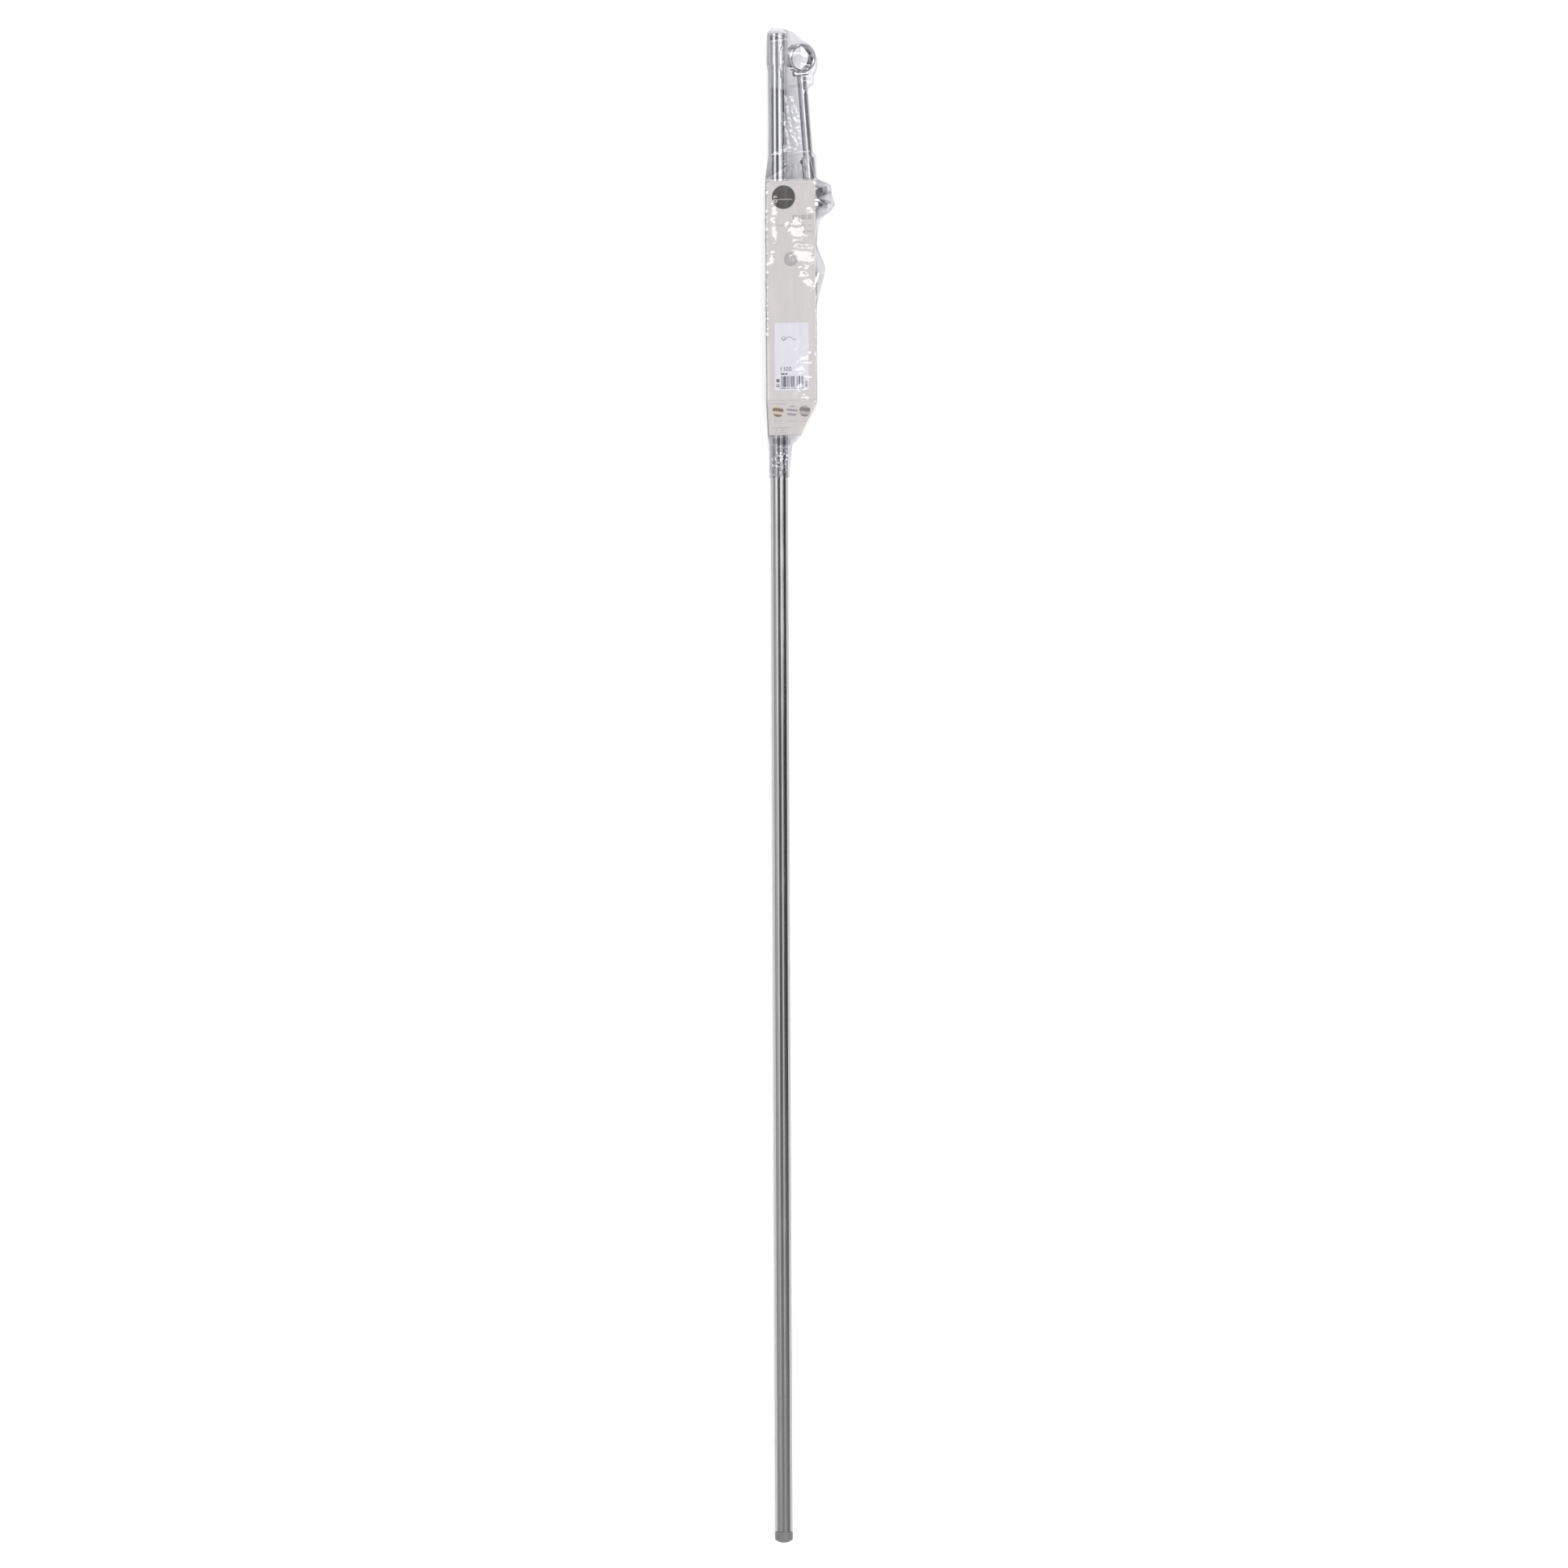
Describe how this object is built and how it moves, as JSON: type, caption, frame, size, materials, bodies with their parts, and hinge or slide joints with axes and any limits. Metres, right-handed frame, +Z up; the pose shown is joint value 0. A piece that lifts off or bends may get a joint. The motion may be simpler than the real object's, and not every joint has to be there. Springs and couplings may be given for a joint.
{
  "type": "telescopic curtain pole kit",
  "caption": "Telescopic chromed curtain pole with end caps and wall brackets, packed with a printed card in clear film.",
  "frame": {"origin": "bottom centre of the pack as it lies on a surface", "axes": "+Y along the pole towards the capped end, +Z up out of the printed side of the card, +X to the right seen from above with the cap at the top"},
  "size_m": [0.0762, 1.6176, 0.0574],
  "materials": {
    "chromed_tube": "polished plating with fine draw lines",
    "chromed_fittings": "polished plating",
    "inner_tube_steel": "drawn steel",
    "grey_plastic": "satin moulded",
    "white_plastic": "moulded nylon",
    "black_screws": "blackened steel",
    "zinc_screws": "bright zinc",
    "printed_card": "uncoated printed board",
    "white_label": "smooth label paper",
    "clear_film": "clear polypropylene film"
  },
  "bodies": {
    "root": {"outer_tube": "chromed_tube", "mouth_bush": "grey_plastic", "top_end_cap": "chromed_fittings", "top_cap_liner": "white_plastic", "spare_end_cap": "chromed_fittings", "spare_cap_liner": "white_plastic", "wall_plate_a": "chromed_fittings", "wall_plate_b": "chromed_fittings", "centre_screw_a": "zinc_screws", "centre_screw_b": "zinc_screws", "rosette_a": "chromed_fittings", "rosette_b": "chromed_fittings", "socket_a": "chromed_fittings", "socket_b": "chromed_fittings", "wall_screws": "zinc_screws", "wall_plugs": "white_plastic", "hex_key": "black_screws", "header_card": "printed_card", "label_sticker": "white_label", "film_wrap": "clear_film"},
    "inner_pole": {"inner_tube": "inner_tube_steel", "slide_plug": "grey_plastic", "end_adapter": "grey_plastic"},
    "arm_a": {"arm_a": "chromed_fittings"},
    "ring_a": {"ring_a": "chromed_fittings"},
    "ring_screw_a": {"ring_screw_a": "black_screws"},
    "socket_screw_a": {"socket_screw_a": "black_screws"},
    "arm_b": {"arm_b": "chromed_fittings"},
    "ring_b": {"ring_b": "chromed_fittings"},
    "ring_screw_b": {"ring_screw_b": "black_screws"},
    "socket_screw_b": {"socket_screw_b": "black_screws"}
  },
  "joints": [
    {"name": "pole_extend", "type": "slide", "parent": "root", "child": "inner_pole", "axis": [0, -1, 0], "range_m": [0, 1.4]},
    {"name": "arm_slide_a", "type": "slide", "parent": "root", "child": "arm_a", "axis": [0.0728, -0.9919, -0.1045], "range_m": [0, 0.006]},
    {"name": "ring_swivel_a", "type": "hinge", "parent": "arm_a", "child": "ring_a", "pos_m": [0.00029, 0.7756, 0.03867], "axis": [-0.0728, 0.9919, 0.1045], "range_deg": [-90, 90]},
    {"name": "ring_screw_turn_out_a", "type": "slide", "parent": "ring_a", "child": "ring_screw_a", "axis": [-0.8884, -0.1121, 0.4451], "range_m": [0, 0.0022]},
    {"name": "socket_screw_turn_out_a", "type": "slide", "parent": "root", "child": "socket_screw_a", "axis": [-0.9828, -0.0535, -0.1768], "range_m": [0, 0.0018]},
    {"name": "arm_slide_b", "type": "slide", "parent": "root", "child": "arm_b", "axis": [0.0842, 0.9949, -0.0558], "range_m": [0, 0.006]},
    {"name": "ring_swivel_b", "type": "hinge", "parent": "arm_b", "child": "ring_b", "pos_m": [-0.00138, 0.47835, 0.03151], "axis": [-0.0842, -0.9949, 0.0558], "range_deg": [-90, 90]},
    {"name": "ring_screw_turn_out_b", "type": "slide", "parent": "ring_b", "child": "ring_screw_b", "axis": [-0.4944, 0.0904, 0.8645], "range_m": [0, 0.0022]},
    {"name": "socket_screw_turn_out_b", "type": "slide", "parent": "root", "child": "socket_screw_b", "axis": [-0.9817, 0.0733, -0.1755], "range_m": [0, 0.0018]}
  ]
}
